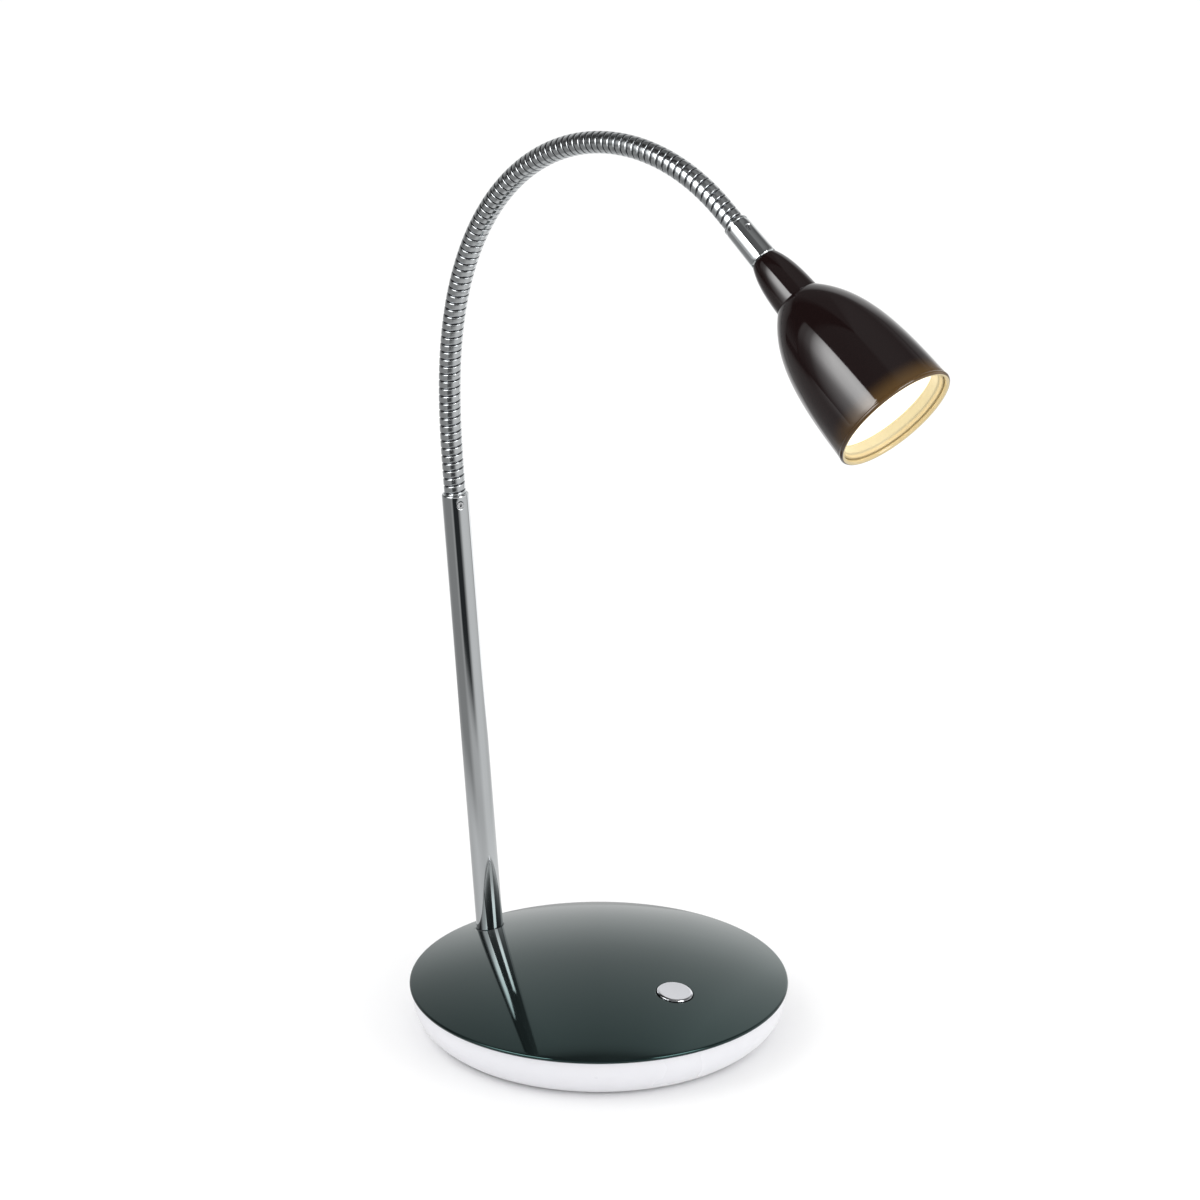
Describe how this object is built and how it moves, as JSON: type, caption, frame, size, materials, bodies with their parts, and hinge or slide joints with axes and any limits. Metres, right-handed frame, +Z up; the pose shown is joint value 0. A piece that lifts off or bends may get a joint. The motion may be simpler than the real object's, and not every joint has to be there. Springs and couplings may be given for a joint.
{
  "type": "gooseneck desk lamp",
  "caption": "Desk lamp with a domed base, a push button, a leaning chrome stem, a jointed gooseneck and a small bell-shaped head.",
  "frame": {"origin": "middle of the base, at the height of the table under the rubber feet", "axes": "+Z up; the head reaches over -Y; the stem stands at +Y; +X is the symmetric side"},
  "size_m": [0.14, 0.2348, 0.3482],
  "materials": {
    "black_gloss": "high gloss black paint",
    "shade_black": "high gloss black paint, slightly warm",
    "pearl_white": "pearl white moulded plastic",
    "plated_steel": "zinc plated",
    "ballast_steel": "bare, oiled",
    "foot_rubber": "matte",
    "button_silver": "satin with a bright turned edge",
    "nylon": "natural nylon",
    "spring_steel": "bright wire",
    "switch_black": "moulded",
    "board_green": "solder resist",
    "winding_tape": "yellow tape over a ferrite core",
    "capacitor_sleeve": "dark blue sleeve",
    "terminal_green": "moulded",
    "lead_jacket": "clear grey two-core jacket",
    "stem_chrome": "polished",
    "neck_chrome": "polished ribs",
    "nipple_brass": "turned",
    "sink_aluminium": "as cast",
    "board_white": "white solder resist on an aluminium board",
    "chip_phosphor": "yellow phosphor",
    "reflector_white": "white",
    "diffuser_opal": "opal, lit from behind",
    "lining_cream": "pale cream, lit"
  },
  "bodies": {
    "base": {"base_cover": "black_gloss", "base_shell": "pearl_white", "bottom_plate": "plated_steel", "ballast_weight": "ballast_steel", "ballast_screws": "plated_steel", "base_screws": "plated_steel", "rubber_feet": "foot_rubber", "cable_bush": "foot_rubber", "switch_body": "switch_black", "switch_bracket": "plated_steel", "driver_board": "board_green", "board_posts": "nylon", "transformer": "winding_tape", "capacitors": "capacitor_sleeve", "terminal_block": "terminal_green", "base_leads": "lead_jacket", "stem_tube": "stem_chrome", "stem_nipple": "nipple_brass", "stem_washer": "plated_steel", "stem_nut": "plated_steel", "stem_grub_screw": "plated_steel", "neck_root_link": "neck_chrome", "neck_lead": "lead_jacket", "button_spring": "spring_steel"},
    "button": {"push_button": "button_silver", "switch_plunger": "nylon"},
    "neck_01": {"neck_link_01": "neck_chrome"},
    "neck_02": {"neck_link_02": "neck_chrome"},
    "neck_03": {"neck_link_03": "neck_chrome"},
    "neck_04": {"neck_link_04": "neck_chrome"},
    "neck_05": {"neck_link_05": "neck_chrome"},
    "neck_06": {"neck_link_06": "neck_chrome"},
    "neck_07": {"neck_link_07": "neck_chrome"},
    "neck_08": {"neck_link_08": "neck_chrome"},
    "neck_09": {"neck_link_09": "neck_chrome"},
    "neck_10": {"neck_link_10": "neck_chrome"},
    "neck_11": {"neck_link_11": "neck_chrome"},
    "neck_12": {"neck_link_12": "neck_chrome"},
    "neck_13": {"neck_link_13": "neck_chrome"},
    "neck_14": {"neck_link_14": "neck_chrome"},
    "neck_15": {"neck_link_15": "neck_chrome"},
    "neck_16": {"neck_link_16": "neck_chrome"},
    "neck_17": {"neck_link_17": "neck_chrome"},
    "neck_18": {"neck_link_18": "neck_chrome"},
    "neck_19": {"neck_link_19": "neck_chrome"},
    "neck_20": {"neck_link_20": "neck_chrome"},
    "head": {"neck_end_link": "neck_chrome", "ferrule": "stem_chrome", "ferrule_grub_screw": "plated_steel", "head_nipple": "nipple_brass", "collar": "black_gloss", "shade": "shade_black", "head_nut": "plated_steel", "heat_sink": "sink_aluminium", "led_board": "board_white", "led_chips": "chip_phosphor", "reflector": "reflector_white", "diffuser": "diffuser_opal", "retaining_ring": "lining_cream"}
  },
  "joints": [
    {"name": "button_press", "type": "slide", "parent": "base", "child": "button", "axis": [0, 0.1596, -0.9872], "range_m": [0, 0.0015], "stiffness_N_per_m": 300, "springref_m": -0.002, "deforming": ["button_spring"]},
    {"name": "neck_lower_bend", "type": "hinge", "parent": "base", "child": "neck_01", "pos_m": [0, 0.07457, 0.20194], "axis": [1, 0, 0], "range_deg": [-12, 8], "deforming": ["neck_lead"]},
    {"name": "neck_lower_sway", "type": "hinge", "parent": "neck_01", "child": "neck_02", "pos_m": [0, 0.07542, 0.21351], "axis": [0, 0.9985, -0.055], "range_deg": [-12, 12]},
    {"name": "neck_joint_03_bend", "type": "hinge", "parent": "neck_02", "child": "neck_03", "pos_m": [0, 0.07584, 0.2251], "axis": [1, 0, 0], "range_deg": [-12, 8]},
    {"name": "neck_joint_04_sway", "type": "hinge", "parent": "neck_03", "child": "neck_04", "pos_m": [0, 0.0757, 0.2367], "axis": [0, 0.9991, 0.0427], "range_deg": [-12, 12]},
    {"name": "neck_joint_05_bend", "type": "hinge", "parent": "neck_04", "child": "neck_05", "pos_m": [0, 0.07485, 0.24827], "axis": [1, 0, 0], "range_deg": [-12, 8]},
    {"name": "neck_joint_06_sway", "type": "hinge", "parent": "neck_05", "child": "neck_06", "pos_m": [0, 0.07316, 0.25974], "axis": [0, 0.9821, 0.1882], "range_deg": [-12, 12]},
    {"name": "neck_joint_07_bend", "type": "hinge", "parent": "neck_06", "child": "neck_07", "pos_m": [0, 0.07049, 0.27103], "axis": [1, 0, 0], "range_deg": [-12, 8]},
    {"name": "neck_joint_08_sway", "type": "hinge", "parent": "neck_07", "child": "neck_08", "pos_m": [0, 0.06679, 0.28203], "axis": [0, 0.931, 0.365], "range_deg": [-12, 12]},
    {"name": "neck_middle_bend", "type": "hinge", "parent": "neck_08", "child": "neck_09", "pos_m": [0, 0.06203, 0.29261], "axis": [1, 0, 0], "range_deg": [-14, 6.5]},
    {"name": "neck_joint_10_sway", "type": "hinge", "parent": "neck_09", "child": "neck_10", "pos_m": [0, 0.05618, 0.30262], "axis": [0, 0.834, 0.5518], "range_deg": [-12, 12]},
    {"name": "neck_joint_11_bend", "type": "hinge", "parent": "neck_10", "child": "neck_11", "pos_m": [0, 0.04925, 0.31192], "axis": [1, 0, 0], "range_deg": [-14, 6.5]},
    {"name": "neck_upper_sway", "type": "hinge", "parent": "neck_11", "child": "neck_12", "pos_m": [0, 0.04127, 0.32034], "axis": [0, 0.6819, 0.7315], "range_deg": [-10, 10]},
    {"name": "neck_joint_13_bend", "type": "hinge", "parent": "neck_12", "child": "neck_13", "pos_m": [0, 0.03231, 0.32771], "axis": [1, 0, 0], "range_deg": [-14, 6.5]},
    {"name": "neck_joint_14_sway", "type": "hinge", "parent": "neck_13", "child": "neck_14", "pos_m": [0, 0.0225, 0.3339], "axis": [0, 0.4773, 0.8787], "range_deg": [-10, 10]},
    {"name": "neck_upper_bend", "type": "hinge", "parent": "neck_14", "child": "neck_15", "pos_m": [0, 0.01197, 0.33876], "axis": [1, 0, 0], "range_deg": [-15, 4.5]},
    {"name": "neck_joint_16_sway", "type": "hinge", "parent": "neck_15", "child": "neck_16", "pos_m": [0, 0.00088, 0.34218], "axis": [0, 0.2275, 0.9738], "range_deg": [-10, 10]},
    {"name": "neck_joint_17_bend", "type": "hinge", "parent": "neck_16", "child": "neck_17", "pos_m": [0, -0.01057, 0.34403], "axis": [1, 0, 0], "range_deg": [-15, 4.5]},
    {"name": "neck_joint_18_sway", "type": "hinge", "parent": "neck_17", "child": "neck_18", "pos_m": [0, -0.02217, 0.34423], "axis": [0, -0.0567, 0.9984], "range_deg": [-10, 10]},
    {"name": "neck_joint_19_bend", "type": "hinge", "parent": "neck_18", "child": "neck_19", "pos_m": [0, -0.03367, 0.34272], "axis": [1, 0, 0], "range_deg": [-15, 4.5]},
    {"name": "neck_joint_20_sway", "type": "hinge", "parent": "neck_19", "child": "neck_20", "pos_m": [0, -0.0448, 0.33946], "axis": [0, -0.3559, 0.9345], "range_deg": [-10, 10]},
    {"name": "neck_joint_21_bend", "type": "hinge", "parent": "neck_20", "child": "head", "pos_m": [0, -0.05528, 0.33449], "axis": [1, 0, 0], "range_deg": [-15, 4.5]}
  ],
  "couplings": [
    {"joint": "neck_joint_03_bend", "follows": "neck_lower_bend", "ratio": 1},
    {"joint": "neck_joint_04_sway", "follows": "neck_lower_sway", "ratio": 1},
    {"joint": "neck_joint_05_bend", "follows": "neck_lower_bend", "ratio": 1},
    {"joint": "neck_joint_06_sway", "follows": "neck_lower_sway", "ratio": 1},
    {"joint": "neck_joint_07_bend", "follows": "neck_lower_bend", "ratio": 1},
    {"joint": "neck_joint_08_sway", "follows": "neck_lower_sway", "ratio": 1},
    {"joint": "neck_joint_10_sway", "follows": "neck_lower_sway", "ratio": 1},
    {"joint": "neck_joint_11_bend", "follows": "neck_middle_bend", "ratio": 1},
    {"joint": "neck_joint_13_bend", "follows": "neck_middle_bend", "ratio": 1},
    {"joint": "neck_joint_14_sway", "follows": "neck_upper_sway", "ratio": 1},
    {"joint": "neck_joint_16_sway", "follows": "neck_upper_sway", "ratio": 1},
    {"joint": "neck_joint_17_bend", "follows": "neck_upper_bend", "ratio": 1},
    {"joint": "neck_joint_18_sway", "follows": "neck_upper_sway", "ratio": 1},
    {"joint": "neck_joint_19_bend", "follows": "neck_upper_bend", "ratio": 1},
    {"joint": "neck_joint_20_sway", "follows": "neck_upper_sway", "ratio": 1},
    {"joint": "neck_joint_21_bend", "follows": "neck_upper_bend", "ratio": 1}
  ]
}
